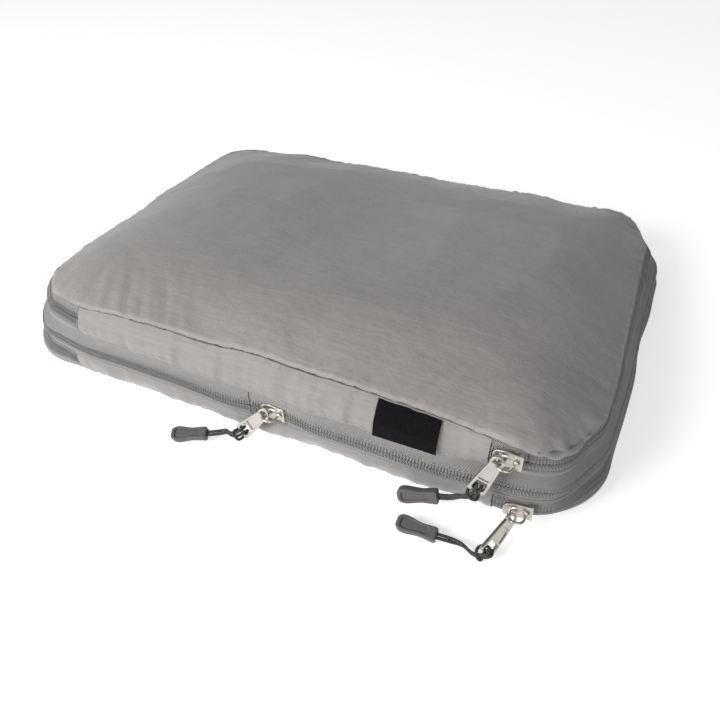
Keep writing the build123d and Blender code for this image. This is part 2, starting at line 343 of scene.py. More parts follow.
def makeNylon(name, base, crinkle=0.5):
    material, tree, shader = nodesOf(name)
    low = [c * 0.88 for c in base]
    high = [c * 1.12 for c in base]
    mottle = noiseOn(tree, (14, 30, 30), 1.0, 6.0, 0.65)
    streaks = noiseOn(tree, (45, 700, 700), 1.0, 3.0, 0.6)
    tree.links.new(rampOn(tree, mixOn(tree, mottle, streaks), low, high), shader.inputs["Base Color"])
    shader.inputs["Roughness"].default_value = 0.52
    shader.inputs["Sheen Weight"].default_value = 0.25
    shader.inputs["Sheen Roughness"].default_value = 0.4
    weft = waveOn(tree, (1, 1, 1), 560.0, 0.6, "Y")
    warp = waveOn(tree, (1, 1, 1), 520.0, 0.6, "X")
    slub = noiseOn(tree, (60, 900, 900), 1.0, 3.0)
    crease = noiseOn(tree, (38, 52, 52), 1.0, 5.0, 0.55)
    bumpOn(tree, [
        (crease, crinkle, 0.004),
        (slub, 0.35, 0.0004),
        (weft, 0.22, 0.0002),
        (warp, 0.18, 0.0002),
    ], shader)
    return material


def makeTwill(name, base):
    material, tree, shader = nodesOf(name)
    grain = noiseOn(tree, (220, 220, 220), 1.0, 3.0)
    low = [c * 0.8 for c in base]
    high = [c * 1.15 for c in base]
    shader.inputs["Roughness"].default_value = 0.75
    shader.inputs["Sheen Weight"].default_value = 0.2
    slant = waveOn(tree, (1, 1, 1), 500.0, 1.2, "DIAGONAL")
    cross = waveOn(tree, (1, 1, -1), 500.0, 1.2, "DIAGONAL")
    tree.links.new(rampOn(tree, mixOn(tree, grain, slant), low, high), shader.inputs["Base Color"])
    bumpOn(tree, [(slant, 0.8, 0.0005), (cross, 0.5, 0.0004), (grain, 0.35, 0.0005)], shader)
    return material


def makePlain(name, base, rough, grainSize, strength, sheen=0.0, metal=0.0, spread=0.1):
    material, tree, shader = nodesOf(name)
    grain = noiseOn(tree, (1, 1, 1), grainSize, 4.0)
    low = [c * (1 - spread) for c in base]
    high = [min(1.0, c * (1 + spread)) for c in base]
    tree.links.new(rampOn(tree, grain, low, high), shader.inputs["Base Color"])
    shader.inputs["Roughness"].default_value = rough
    shader.inputs["Metallic"].default_value = metal
    shader.inputs["Sheen Weight"].default_value = sheen
    bumpOn(tree, [(grain, strength, 0.0003)], shader)
    return material


def makeLabel():
    material, tree, shader = nodesOf("labelWeave")
    grain = noiseOn(tree, (900, 900, 900), 1.0, 2.0)
    black = rampOn(tree, grain, (0.002, 0.002, 0.003), (0.006, 0.006, 0.008))
    tree.links.new(black, shader.inputs["Base Color"])
    shader.inputs["Roughness"].default_value = 0.85
    shader.inputs["Specular IOR Level"].default_value = 0.12
    thread = waveOn(tree, (1, 1, 1), 700.0, 0.5, "Z")
    bumpOn(tree, [(thread, 0.5, 0.0002), (grain, 0.3, 0.0002)], shader)
    return material


def makeCordLook():
    material, tree, shader = nodesOf("cordBraid")
    grain = noiseOn(tree, (1, 1, 1), 900.0, 3.0)
    dark = rampOn(tree, grain, (0.03, 0.029, 0.028), (0.09, 0.087, 0.085))
    tree.links.new(dark, shader.inputs["Base Color"])
    shader.inputs["Roughness"].default_value = 0.8
    slant = waveOn(tree, (1, 1, 1), 420.0, 1.5, "DIAGONAL")
    bumpOn(tree, [(slant, 0.8, 0.0005), (grain, 0.4, 0.0003)], shader)
    return material


colours = {
    "wall": (0.258, 0.247, 0.24),
    "panel": (0.312, 0.297, 0.289),
    "tape": (0.288, 0.276, 0.269),
    # coil colour: a dark grey, made near black as painted shade for the thin dark line of each zip's gap
    "coil": (0.04, 0.038, 0.037),
    "binding": (0.23, 0.222, 0.216),
    "divider": (0.25, 0.243, 0.238),
    "nickel": (0.5, 0.48, 0.445),
    "grip": (0.105, 0.099, 0.096),
}
greyNylon = makeNylon("greyNylon", colours["wall"])
panelNylon = makeNylon("panelNylon", colours["panel"], 0.45)
tapeTwill = makeTwill("tapeTwill", colours["tape"])
# the coil's material, near black as painted shade in the gap between the tapes
coilNylonGapShade = makePlain("coilNylonGapShade", colours["coil"], 0.45, 600.0, 0.3)
bindingCloth = makeTwill("bindingCloth", colours["binding"])
dividerCloth = makeNylon("dividerCloth", colours["divider"], 0.3)
labelWeave = makeLabel()
nickel = makePlain("nickel", colours["nickel"], 0.3, 260.0, 0.12, metal=1.0, spread=0.06)
cordBraid = makeCordLook()
gripRubber = makePlain("gripRubber", colours["grip"], 0.62, 1200.0, 0.25, spread=0.15)

print("stage: camera and cords")

# the camera, at the front right and above
view = {
    "azimuth": 26.65,
    "elevation": 41.37,
    "roll": -2.38,
    "lens": 33.66,
    "place": (0.15774, -0.31261, 0.25848),
}
azimuth, elevation, roll = (math.radians(view[name]) for name in ("azimuth", "elevation", "roll"))
back = Vector((math.sin(azimuth), -math.cos(azimuth), 0)) * math.cos(elevation)
back.z = math.sin(elevation)
right = (-back).cross(Vector((0, 0, 1))).normalized()
up = right.cross(-back)
tiltRight = right * math.cos(roll) + up * math.sin(roll)
tiltUp = up * math.cos(roll) - right * math.sin(roll)
camera = bpy.data.objects.new("camera", bpy.data.cameras.new("camera"))
bpy.context.collection.objects.link(camera)
turned = Matrix((tiltRight, tiltUp, back)).transposed().to_4x4()
camera.matrix_world = Matrix.Translation(view["place"]) @ turned
camera.data.lens = view["lens"]
camera.data.clip_start = 0.01
bpy.context.scene.camera = camera

cordShape = {"diameter": 0.0015, "smoothness": 10}


def makeCord(name, points, body, node, grip):
    curve = bpy.data.curves.new(name, "CURVE")
    curve.dimensions = "3D"
    spline = curve.splines.new("NURBS")
    spline.points.add(len(points) - 1)
    for point, place in zip(spline.points, points):
        point.co = (*place, 1)
    spline.order_u = 3
    spline.use_endpoint_u = True
    spline.resolution_u = cordShape["smoothness"]
    curve.bevel_depth = cordShape["diameter"] / 2
    curve.bevel_resolution = 4
    curve.use_fill_caps = True
    curve.materials.append(cordBraid)
    made = bpy.data.objects.new(name, curve)
    bpy.context.collection.objects.link(made)
    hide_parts(node)
    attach(made, body)


# each route starts and ends in its grip, with the hitch round the puller's bar half way
upperRoute = [
    (0.10463, -0.13528, 0.01480), (0.10953, -0.13528, 0.01630), (0.11438, -0.13482, 0.02028),
    (0.11717, -0.13536, 0.02161), (0.12082, -0.13551, 0.02489), (0.12243, -0.13506, 0.02864),
    (0.12218, -0.13127, 0.02839), (0.12142, -0.13146, 0.02309), (0.12193, -0.13644, 0.02288),
    (0.11714, -0.13691, 0.02485), (0.11681, -0.13191, 0.02499), (0.11997, -0.13148, 0.02930),
    (0.12059, -0.13524, 0.02940), (0.11916, -0.13567, 0.02557), (0.11533, -0.13554, 0.02237),
    (0.11282, -0.13498, 0.02092), (0.10907, -0.13492, 0.01790), (0.10417, -0.13492, 0.01640),
]
compressionRoute = [
    (-0.01910, -0.13834, 0.00471), (-0.01360, -0.13634, 0.00561), (-0.00786, -0.13442, 0.00789),
    (-0.00435, -0.13651, 0.00836), (0.00012, -0.13621, 0.01037), (0.00288, -0.13475, 0.01304),
    (0.00292, -0.13137, 0.01130), (0.00050, -0.13336, 0.00694), (0.00044, -0.13804, 0.00873),
    (-0.00350, -0.13669, 0.01185), (-0.00328, -0.13206, 0.00994), (0.00110, -0.13075, 0.01274),
    (0.00136, -0.13423, 0.01424), (-0.00124, -0.13574, 0.01145), (-0.00586, -0.13599, 0.00956),
    (-0.00914, -0.13398, 0.00891), (-0.01420, -0.13486, 0.00619), (-0.01970, -0.13686, 0.00529),
]
lowerRoute = [
    (0.10831, -0.14721, 0.00284), (0.11461, -0.14691, 0.00304), (0.12107, -0.14627, 0.00329),
    (0.12580, -0.14828, 0.00147), (0.13015, -0.14855, 0.00287), (0.13362, -0.14818, 0.00504),
    (0.13320, -0.14441, 0.00525), (0.12953, -0.14439, 0.00134), (0.12991, -0.14932, 0.00053),
    (0.12714, -0.15013, 0.00486), (0.12687, -0.14517, 0.00550), (0.13192, -0.14478, 0.00724),
    (0.13255, -0.14850, 0.00670), (0.12919, -0.14883, 0.00437), (0.12474, -0.14860, 0.00313),
    (0.12016, -0.14653, 0.00471), (0.11462, -0.14529, 0.00356), (0.10832, -0.14559, 0.00336),
]

print("stage: zips")

ribs = round(girth / 1.5)
pitch = girth / ribs  # of the stitching along the coils
sliderReach = 8.0  # fixed tape past each resting slider
zipSizes = {
    "closeUp": 0.42,  # the two tapes close up by this to a thin line
    "tapeThick": 0.8,
    "ribFromGap": 1.6,  # the ribs of stitching over the coil
    "ribHalf": 1.25,
    "ribWidth": 0.86,
    "ribHeight": 0.85,
    "stitchFromGap": 3.75,  # the sewn line along each tape
    "stitchPitch": 2.3,
    "coilDepth": 1.45,
}
upperCut = frontS(130) + sliderReach
lowerCut = sliderS["lower"] + sliderReach


def sewnTape(gap):
    # a low bead under the ribs, and the groove of the sewn line
    def relief(s, z):
        away = np.abs(z - gap)
        bead = 0.05 * near(away, 1.7, 1.9) + 0.3 * near(away, 4.7, 0.9)
        return bead - 0.35 * near(away, zipSizes["stitchFromGap"], 0.7)
    return relief


def barParts(s, z, half, width, height, slant, base, across=True):
    # little rounded bars standing on the wall, one at each s; half is half their length
    stations = [(-1.0, 0.35), (-0.7, 0.9), (0.0, 1.0), (0.7, 0.9), (1.0, 0.35)]
    turn = np.linspace(0, np.pi, 5)
    points = []
    for far, size in stations:
        for t in turn:
            side, lift = math.cos(t) * width / 2 * size, math.sin(t) * height * size
            if across:
                points.append(wallAt(s + side + slant * far * half, z + far * half, base + lift))
            else:
                points.append(wallAt(s + far * half, z + side, base + lift))
    points = np.stack(points, 1)
    quads = gridFaces(5, 5)
    faces = (quads[None] + (np.arange(len(s)) * 25)[:, None, None]).reshape(-1, 4)
    return points.reshape(-1, 3), faces


def makeTape(name, node, body, sFrom, sTo, zLow, zHigh, gap):
    side = 1 if abs(zLow - gap) < abs(zHigh - gap) else -1
    if side > 0:
        zLow = zLow - zipSizes["closeUp"]
    else:
        zHigh = zHigh + zipSizes["closeUp"]
    parts = stripParts(sFrom, sTo, zLow, zHigh, zipSizes["tapeThick"], 1.0, 0.5, sewnTape(gap))
    s = np.arange(math.ceil(sFrom / pitch) + 0.5, sTo / pitch - 0.5) * pitch
    z = np.full_like(s, gap + side * zipSizes["ribFromGap"])
    rib = zipSizes["ribHalf"], zipSizes["ribWidth"], zipSizes["ribHeight"]
    parts.append(barParts(s, z, *rib, 0.25 * side, 0.0))
    if zHigh - zLow > 4.6:
        stitch = zipSizes["stitchPitch"]
        s = np.arange(math.ceil(sFrom / stitch) + 0.5, sTo / stitch - 0.5) * stitch
        z = np.full_like(s, gap + side * zipSizes["stitchFromGap"])
        parts.append(barParts(s, z, 0.85, 0.42, 0.42, 0, -0.25, False))
    points, faces = joinParts(parts)
    return makeObject(name, points, faces, body, tapeTwill, node)


def makeCoil(name, node, body, sFrom, sTo, gap, side):
    # one row of turns, behind its tape
    count = int(round((sTo - sFrom) / (pitch / 3)))
    s = np.linspace(sFrom, sTo, count + 1)
    turn = np.linspace(0, 2 * np.pi, 9)[:-1]
    swell = 0.72 + 0.28 * np.cos(2 * np.pi * s / pitch + (0 if side > 0 else np.pi))
    rings = []
    for t in turn:
        out = -zipSizes["coilDepth"] + 0.55 * swell * np.sin(t)
        rings.append(wallAt(s, gap + side * 0.9 + 0.8 * swell * np.cos(t), out))
    points = np.concatenate(rings + rings[:1])
    return makeObject(name, points, gridFaces(9, len(s)), body, coilNylonGapShade, node)


zips = [
    ("upper_lid", "top_lid", upperCut + 0.3, girth + frontS(-105.3), upperGap, 1),
    ("upper_band", "upper_half", frontS(122), girth + frontS(-105), upperGap, -1),
    ("compression_upper", "upper_half", frontS(3.3), girth + frontS(2.7), compressionGap, 1),
    ("compression_lower", "lower_half", frontS(3.3), girth + frontS(2.7), compressionGap, -1),
    ("lower_band", "lower_half", frontS(126), girth + frontS(-116), lowerGap, 1),
    ("lower_lid", "bottom_lid", lowerCut + 0.3, girth + frontS(-116.3), lowerGap, -1),
]
for name, body, sFrom, sTo, gap, side in zips:
    zLow, zHigh = levels(name + "_tape")
    made = "".join([name.split("_")[0], *[w.title() for w in name.split("_")[1:]]])
    makeTape(made + "Tape", name + "_tape", body, sFrom, sTo, zLow, zHigh, gap)
    makeCoil(made + "Coil", name + "_coil", body, sFrom, sTo, gap, side)
for name, body, sFrom, sTo, gap in (
    ("upper", "upper_half", frontS(122), upperCut, upperGap),
    ("lower", "lower_half", frontS(126), lowerCut, lowerGap),
):
    node = name + "_end_tape"
    makeTape(name + "EndTape", node, body, sFrom, sTo, *levels(node), gap)

print("stage: cloth walls")


def gathered(low, high, seed):
    # cloth sewn in a little slack: soft gathers from both seams
    def relief(s, z):
        share = (z - low) / (high - low)
        made = 0.50 + 0.45 * ripple(s, 95, seed) * (0.35 + 0.65 * near(share, 0.25, 0.6))
        made = made + 0.8 * ripple(s, 31, seed + 1) * near(share, 0.5, 0.6)
        made = made + 0.25 * ripple(s + 2.5 * z, 160, seed + 2) * near(share, 0.1, 0.4)
        for edge in (0.07, 0.93):
            made = made - 0.35 * near(share, edge, 0.05)  # sewn line
        return made
    return relief


def makeWall(name, node, body, left, right, material, seed):
    zLow, zHigh = levels(node)
    relief = gathered(zLow, zHigh, seed)
    parts = stripParts(frontS(left), frontS(right), zLow, zHigh, 0.8, 0.8, 0.6, relief)
    s = np.arange(frontS(left) + 2, frontS(right) - 2, 2.6)
    for z in (zLow + 0.07 * (zHigh - zLow), zLow + 0.93 * (zHigh - zLow)):
        zz = np.full_like(s, z)
        parts.append(barParts(s, zz, 0.9, 0.36, 0.34, 0, relief(s, zz) - 0.05, False))
    points, faces = joinParts(parts)
    return makeObject(name, points, faces, body, material, node)


makeWall("upperSpine", "upper_spine", "upper_half", -105, 122, greyNylon, 2.0)
makeWall("lowerSpine", "lower_spine", "lower_half", -116, 126, greyNylon, 7.0)


def makeBinding(name, node, body, sFrom, sTo, out, thick):
    zLow, zHigh = levels(node)
    rows = np.linspace(zLow, zHigh, 4)
    s = np.linspace(sFrom, sTo, int((sTo - sFrom) / 2.5))
    path = [(z, out) for z in rows] + [(z, out - thick) for z in rows[::-1]] + [(rows[0], out)]
    points = np.concatenate([wallAt(s, np.full_like(s, z), o) for z, o in path])
    return makeObject(name, points, gridFaces(len(path), len(s)), body, bindingCloth, node)


makeBinding("topBinding", "top_binding", "top_lid", upperCut + 0.3, girth + frontS(-105.3), -0.85, 0.7)
makeBinding("upperBinding", "upper_binding", "upper_half", 0, girth, -0.85, 0.7)
makeBinding("middleBinding", "middle_binding", "lower_half", 0, girth, -0.85, 1.1)
makeBinding("bottomBinding", "bottom_binding", "bottom_lid", lowerCut + 0.3, girth + frontS(-116.3),
            -0.85, 0.7)

# the gusset, folded in behind the compression zip
folds = 4
s = np.arange(0, girth, 3.0)
t = np.linspace(0, 1, 49)
foldZ = middleSeam + 1.0 + (upperSeam - middleSeam - 1.2) * t
foldOut = -5.6 + 1.5 * np.cos(2 * folds * np.pi * t)
foldOut = foldOut + 3.0 * near(t, 0, 0.08) + 3.0 * near(t, 1, 0.08)
rows = [wallAt(s, np.full_like(s, z), o + 0.4 * ripple(s, 60, 9.0)) for z, o in zip(foldZ, foldOut)]
faces = gridFaces(len(rows), len(s), True)
gusset = makeObject("expansionGusset", np.concatenate(rows), faces, None, greyNylon,
                    "expansion_gusset")
# the slope of its middle line, worked out as lean, which nothing uses
middle = (rows[0] + rows[-1]) / 2
plan = np.stack([middle[:, 0], middle[:, 1], np.ones(len(s))], 1)
slope = np.linalg.lstsq(plan, middle[:, 2], rcond=None)[0]
lean = np.array([-slope[0], -slope[1], 1.0])
lean = lean / np.linalg.norm(lean)
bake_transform(gusset)

print("stage: panels")


def depthAt(points):
    # distance in from the wall and the place along it, for points in plan
    s = np.arange(0, girth, 1.0)
    x, y, _, _ = planAt(s)
    depth, where = [], []
    for part in np.array_split(points, 12):
        away = np.hypot(part[:, :1] - x, part[:, 1:] - y)
        depth.append(away.min(1))
        where.append(s[away.argmin(1)])
    return np.concatenate(depth), np.concatenate(where)


def fillPlan(spacing, rim):
    # evenly filled rounded rectangle: the wall's own points first, then a triangular grid
    s = np.linspace(0, girth, int(girth / rim) + 1)[:-1]
    x, y, _, _ = planAt(s)
    edge = np.stack([x, y], 1)
    rows = np.arange(-halfWidth, halfWidth, spacing * 0.866)
    grid = []
    for i, row in enumerate(rows):
        across = np.arange(-halfLength + (i % 2) * spacing / 2, halfLength, spacing)
        grid.append(np.stack([across, np.full_like(across, row)], 1))
    grid = np.concatenate(grid)
    dx = np.maximum(np.abs(grid[:, 0]) - (halfLength - corner), 0)
    dy = np.maximum(np.abs(grid[:, 1]) - (halfWidth - corner), 0)
    inside = np.where((dx > 0) & (dy > 0), corner - np.hypot(dx, dy),
                      np.minimum(halfLength - np.abs(grid[:, 0]), halfWidth - np.abs(grid[:, 1])))
    grid = grid[inside > spacing * 0.6]
    every = np.concatenate([edge, grid])
    made = geometry.delaunay_2d_cdt([Vector(p) for p in every], [], [list(range(len(edge)))], 1, 1e-5)
    points = np.array([tuple(p) for p in made[0]])
    return points, [list(f) for f in made[2]]


def layPanel(points, z, edgeOut, puff, reach):
    # from plan to its place: held at the wall, rounding over within reach
    depth, where = depthAt(points)
    flat = z * tallness(points[:, 0], points[:, 1])

    def shift(s):
        x, y, _, _ = planAt(s)
        rim = wallAt(s, np.full_like(s, z), edgeOut)
        return np.stack([rim[:, 0] - x, rim[:, 1] - y, rim[:, 2] - z * tallness(x, y)], 1)

    # close to the wall a point follows the nearest place on it, and further in all of it
    posts = np.arange(0, girth, 5.0)
    x, y, _, _ = planAt(posts)
    moved = shift(posts)
    spread = []
    for part in np.array_split(points, 12):
        weight = 1 / (np.hypot(part[:, :1] - x, part[:, 1:] - y) + 2.0) ** 3
        spread.append((weight @ moved) / weight.sum(1, keepdims=True))
    spread = np.concatenate(spread)
    inward = smooth(depth / 16)[:, None]
    fade = (1 - 0.75 * smooth(depth / 110))[:, None]
    made = np.stack([points[:, 0], points[:, 1], flat], 1)
    made = made + (shift(where) * (1 - inward) + spread * inward) * fade
    made[:, 2] += puff * np.sqrt(1 - (1 - np.clip(depth / reach, 0, 1)) ** 2)
    return made, depth, where


def clothSim(made, pinned, frames, pressure):
    # worked ten times larger, where the solver is steadier, and brought back
    start = np.array([v.co for v in made.data.vertices])
    for v in made.data.vertices:
        v.co *= 10
    group = made.vertex_groups.new(name="sewn")
    for i, weight in enumerate(pinned):
        if weight > 0:
            group.add([i], float(weight), "REPLACE")
    cloth = made.modifiers.new("cloth", "CLOTH")
    settings = cloth.settings
    settings.quality = 7
    settings.mass = 0.25
    settings.tension_stiffness = 18
    settings.compression_stiffness = 12
    settings.shear_stiffness = 4
    settings.bending_stiffness = 0.35
    settings.tension_damping = 6
    settings.shrink_min = -0.009  # cut a little slack
    settings.use_pressure = True
    settings.uniform_pressure_force = pressure
    settings.vertex_group_mass = "sewn"
    settings.effector_weights.gravity = 0
    cloth.point_cache.frame_start = 1
    cloth.point_cache.frame_end = frames
    for i in range(1, frames + 1):
        bpy.context.scene.frame_set(i)
    found = made.evaluated_get(bpy.context.evaluated_depsgraph_get())
    moved = np.array([v.co for v in found.data.vertices]) / 10
    made.modifiers.remove(cloth)
    away = moved - start
    size = np.linalg.norm(away, axis=1, keepdims=True)
    capped = start + away * np.minimum(1, 0.009 / np.maximum(size, 1e-9))
    made.data.vertices.foreach_set("co", capped.astype(np.float32).ravel())
    made.data.update()
    bpy.context.scene.frame_set(1)


def thicken(made, thick):
    solid = made.modifiers.new("cloth thickness", "SOLIDIFY")
    solid.thickness = thick
    solid.offset = -1


topCloth = {
    "thick": 0.0009,
    "puff": 3.6,  # roundness at its edge, before the filling pushes it up
    "puffReach": 26,
    "pressure": 2.2,
    "frames": 22,
    "scallopLength": 11.5,
    "scallopDepth": 2.0,
    "hang": 1.4,
}
plan, faces = fillPlan(2.7, 1.5)
points, depth, where = layPanel(plan, topSeam, 0.35, topCloth["puff"], topCloth["puffReach"])
# at the front right corner the panel's edge hangs over the tape in scallops
_, _, nx, ny = planAt(where)
hung = near(where, frontS(130) + 26, 34) * near(depth, 0, 10)
scallop = np.abs(np.sin(np.pi * (where - 2.0 * ripple(where, 40, 4.0)) / topCloth["scallopLength"]))
points[:, 2] -= (topCloth["hang"] + topCloth["scallopDepth"] * scallop) * hung
points[:, 0] += nx * (1.0 + 0.4 * scallop) * hung
points[:, 1] += ny * (1.0 + 0.4 * scallop) * hung
points[:, 2] += 0.4 * ripple(where, 150, 8.0) * near(depth, 3, 7)
points[:, 2] += 0.35 * ripple(where, 24, 9.0) * near(depth, 16, 22)
topPanel = makeObject("topPanel", points, faces, None, panelNylon, "top_panel")
clothSim(topPanel, np.clip(1 - depth / 3, 0, 1), topCloth["frames"], topCloth["pressure"])
thicken(topPanel, topCloth["thick"])
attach(topPanel, "top_lid")

plan, faces = fillPlan(6.0, 3.0)
points, depth, where = layPanel(plan, hem, 0.2, 0, 20)
points[:, 2] = np.clip(points[:, 2] * (1 - smooth(depth / 5)) + 0.02, 0.02, None)
bottomPanel = makeObject("bottomPanel", points, [f[::-1] for f in faces], "bottom_lid",
                         panelNylon, "bottom_panel")
thicken(bottomPanel, topCloth["thick"])

points, depth, where = layPanel(plan, middleSeam + 0.5, 0.35, 0, 20)
points[:, 2] += 0.35 * ripple(points[:, 0] * 2 + points[:, 1], 30, 3.0) * smooth(depth / 12)
divider = makeObject("divider", points, faces, "lower_half", dividerCloth, "divider")
thicken(divider, 0.0007)

print("stage: label")
zLow, zHigh = levels("side_label")


def labelCurl(s, z):
    low = (zHigh - z) / (zHigh - zLow)
    side = (s - frontS(85)) / 15
    return 1.75 + 0.6 * low * low + 0.4 * low * side * side - 0.35 * near(low, 0.06, 0.08)


s = np.linspace(frontS(70), frontS(100), 61)
path = [(z, 0.0) for z in np.linspace(zLow, zHigh, 31)]
path = [(zLow + 0.1, -0.5), (zLow, -0.3)] + path + [(zHigh, -0.5)]
points = np.concatenate([wallAt(s, np.full_like(s, z), o + labelCurl(s, z)) for z, o in path])
makeObject("sideLabel", points, gridFaces(len(path), len(s)), "upper_half", labelWeave,
           "side_label")

print("stage: hardware")


def frameAt(origin, along, face):
    # X along a piece, Z out of its face, in metres
    along, face = Vector(along).normalized(), Vector(face)
    face = (face - along * face.dot(along)).normalized()
    return Matrix.Translation(origin) @ Matrix((along, face.cross(along), face)).transposed().to_4x4()


def rounded(corners, radius, steps=5):
    # a closed outline with its corners rounded; radius is one number or one for each corner
    made = []
    count = len(corners)
    radii = radius if isinstance(radius, list) else [radius] * count
    for i, (here, r) in enumerate(zip(corners, radii)):
        p = Vector(here)
        before, after = Vector(corners[i - 1]) - p, Vector(corners[(i + 1) % count]) - p
        r = min(r, before.length * 0.49, after.length * 0.49)
        start, end = p + before.normalized() * r, p + after.normalized() * r
        for k in range(steps + 1):
            t = k / steps
            made.append(tuple(start * (1 - t) ** 2 + p * 2 * t * (1 - t) + end * t * t))
    return made


def ringLoop(x, y, radius, steps=28):
    return [(x + radius * math.cos(a), y + radius * math.sin(a))
            for a in (2 * math.pi * k / steps for k in range(steps))]


def plate(loops, half, bevel, level=0.0):
    # a flat piece with holes and rounded edges, half thick each way from its level
    curve = bpy.data.curves.new("plate", "CURVE")
    curve.dimensions = "2D"
    curve.fill_mode = "BOTH"
    for loop in loops:
        spline = curve.splines.new("POLY")
        spline.points.add(len(loop) - 1)
        for point, (x, y) in zip(spline.points, loop):
            point.co = (x * mm, y * mm, 0, 1)
        spline.use_cyclic_u = True
    curve.extrude = (half - bevel) * mm
    curve.bevel_depth = bevel * mm
    curve.offset = -bevel * mm
    curve.bevel_resolution = 2
    return curve, Matrix.Translation((0, 0, level * mm))


def wire(points, radius):
    curve = bpy.data.curves.new("wire", "CURVE")
    curve.dimensions = "3D"
    spline = curve.splines.new("NURBS")
    spline.points.add(len(points) - 1)
    for point, place in zip(spline.points, points):
        point.co = (*(c * mm for c in place), 1)
    spline.order_u = 3
    spline.use_endpoint_u = True
    spline.resolution_u = 8
    curve.bevel_depth = radius * mm
    curve.bevel_resolution = 3
    curve.use_fill_caps = True
    return curve, Matrix.Identity(4)


def dome(x, y, level, rx, ry, rise, steps=16):
    # a low rounded boss
    points, faces = [], []
    for i in range(6):
        a = i / 5 * math.pi / 2
        for k in range(steps):
            t = 2 * math.pi * k / steps
            across, along = x + rx * math.cos(a) * math.cos(t), y + ry * math.cos(a) * math.sin(t)
            points.append((across * mm, along * mm, (level + rise * math.sin(a)) * mm))
    for q in gridFaces(6, steps, True):
        faces.append(list(map(int, q)))
    mesh = bpy.data.meshes.new("dome")
    mesh.from_pydata(points, [], faces)
    return mesh, Matrix.Identity(4)


def assemble(name, parts, place, body, look, node, angle=35):
    # one mesh of all the parts of a piece, with its hard edges kept
    made = bpy.data.meshes.new(name)
    bm = bmesh.new()
    for data, local in parts:
        if isinstance(data, bpy.types.Mesh):
            mesh = data
        else:
            holder = bpy.data.objects.new("holder", data)
            bpy.context.collection.objects.link(holder)
            found = holder.evaluated_get(bpy.context.evaluated_depsgraph_get())
            mesh = bpy.data.meshes.new_from_object(found)
            bpy.data.objects.remove(holder)
        mesh.transform(place @ local)
        bm.from_mesh(mesh)
    bmesh.ops.remove_doubles(bm, verts=bm.verts, dist=1e-6)
    bmesh.ops.recalc_face_normals(bm, faces=bm.faces)
    bm.to_mesh(made)
    bm.free()
    made.set_sharp_from_angle(angle=math.radians(angle))
    thing = bpy.data.objects.new(name, made)
    bpy.context.collection.objects.link(thing)
    made.materials.clear()
    made.materials.append(look)
    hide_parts(node)
    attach(thing, body)
    return thing


slider = {"plateHalf": 0.5, "frontLevel": 1.05, "backLevel": -3.1, "bailWire": 0.66}


def makeSlider(name):
    x, y, nx, ny = (float(v[0]) for v in planAt(np.array([sliderS[name]])))
    place = frameAt((x * mm, y * mm, sliderZ[name] * mm), (-ny, nx, 0), (nx, ny, 0))
    shield = [(-6.5, -2.2), (-5.4, -3.7), (-1.5, -4.6), (2.6, -4.1), (4.6, -3.9), (6.5, -4.2)]
    shield += [(x, -y) for x, y in reversed(shield)]
    behind = [(x * 0.93, y * 0.75) for x, y in shield]
    tail = [(4.9, -4.3), (6.6, -4.5), (6.6, 4.5), (4.9, 4.3)]
    parts = [
        plate([rounded(shield, 1.2)], slider["plateHalf"], 0.35, slider["frontLevel"]),
        plate([rounded(behind, 1.0)], slider["plateHalf"], 0.3, slider["backLevel"]),
        plate([rounded(tail, 0.5)], 0.72, 0.3, 1.15),
        dome(0.6, 0, 1.4, 4.4, 2.7, 1.0),
        dome(4.1, 0, 1.4, 1.7, 1.5, 1.7),
        plate([rounded([(3.4, -0.5), (6.2, -0.5), (6.2, 0.5), (3.4, 0.5)], 0.3)], 2.0, 0.2, -1.2),
        wire([(-3.3, 0, 1.2), (-3.4, 0, 2.6), (-3.6, 0, 4.6), (-2.4, 0, 7.3), (0, 0, 7.75), (2.4, 0, 7.3),
              (3.6, 0, 4.6), (3.4, 0, 2.6), (3.3, 0, 1.2)], slider["bailWire"]),
    ]
    for side in (1, -1):
        flange = [(4.6, side * 3.4), (6.6, side * 3.5), (6.6, side * 4.5), (4.6, side * 4.3)]
        parts.append(plate([rounded(flange, 0.3)], 1.3, 0.25, 0.6))
    assemble(name + "Slider", parts, place, name + "_slider", nickel, name + "_slider")


joints = {joint["name"]: joint for joint in frame["joints"]}
puller = {"webHalf": 0.36, "rimHalf": 0.82, "eyeHalf": 0.6, "eyeHole": 1.9, "eyeOuter": 3.2}


def makePuller(name):
    lift, swing = joints[name + "_puller_lift"], joints[name + "_cord_lift"]
    eye, bar = Vector(lift["pos_m"]), Vector(swing["pos_m"])
    along, axis = (bar - eye).normalized(), Vector(lift["axis"])
    place = frameAt(eye, along, axis.cross(along))
    end = (bar - eye).length / mm + 0.9
    body = [(0.6, -2.7), (5.0, -3.2), (end - 0.9, -4.25), (end, -3.7)]
    body += [(x, -y) for x, y in reversed(body)]
    window = [(end - 6.4, -2.45), (end - 2.4, -2.75), (end - 1.6, -2.2)]
    window += [(x, -y) for x, y in reversed(window)]
    recess = [(4.2, -1.5), (5.2, -2.15), (end - 7.5, -2.7)]
    recess += [(x, -y) for x, y in reversed(recess)]
    hole = ringLoop(0, 0, puller["eyeHole"])[::-1]
    outer = rounded(body, [0.8, 2.0, 0.9, 0.9, 0.9, 0.9, 2.0, 0.8])
    parts = [
        plate([outer, rounded(window, 0.3)], puller["webHalf"], 0.12),
        plate([outer, rounded(window, 0.3), rounded(recess, 0.5)], puller["rimHalf"], 0.22),
        plate([ringLoop(0, 0, puller["eyeOuter"]), hole], puller["eyeHalf"], 0.28),
    ]
    assemble(name + "Puller", parts, place, name + "_puller", nickel, name + "_puller")


